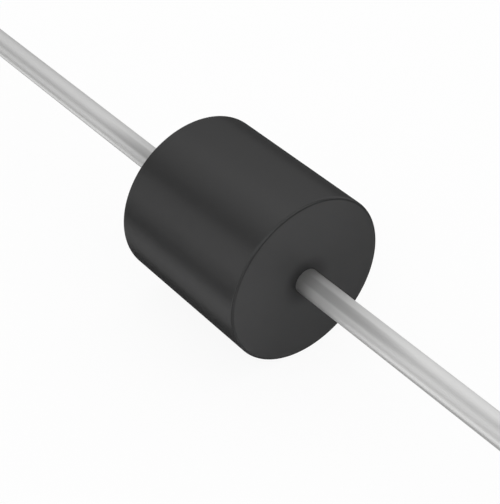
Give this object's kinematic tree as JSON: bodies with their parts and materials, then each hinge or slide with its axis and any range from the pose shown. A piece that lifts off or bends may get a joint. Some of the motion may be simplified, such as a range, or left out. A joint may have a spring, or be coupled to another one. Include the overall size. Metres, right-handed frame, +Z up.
{
  "type": "tvs diode",
  "caption": "Axial-lead transient voltage suppressor diode: a plain black cylindrical moulding with a straight tinned wire out of each end face.",
  "frame": {"origin": "centre of the moulded body, on the lead axis", "axes": "+X along the leads towards the end of lead_a, +Z up, +Y to complete the right-handed set"},
  "size_m": [0.0596, 0.0088, 0.0088],
  "materials": {
    "epoxy_moulding": "dark grey filled epoxy, satin as moulded",
    "tinned_wire": "copper wire with a satin tin plating",
    "silicon": "etched silicon, dull grey",
    "solder": "reflowed solder, dull silver",
    "silicone_coating": "cured silicone, off-white"
  },
  "bodies": {
    "root": {"moulded_body": "epoxy_moulding", "lead_a": "tinned_wire", "lead_b": "tinned_wire", "chip_a": "silicon", "chip_b": "silicon", "solder_a": "solder", "solder_mid": "solder", "solder_b": "solder", "junction_coating": "silicone_coating"}
  },
  "joints": []
}
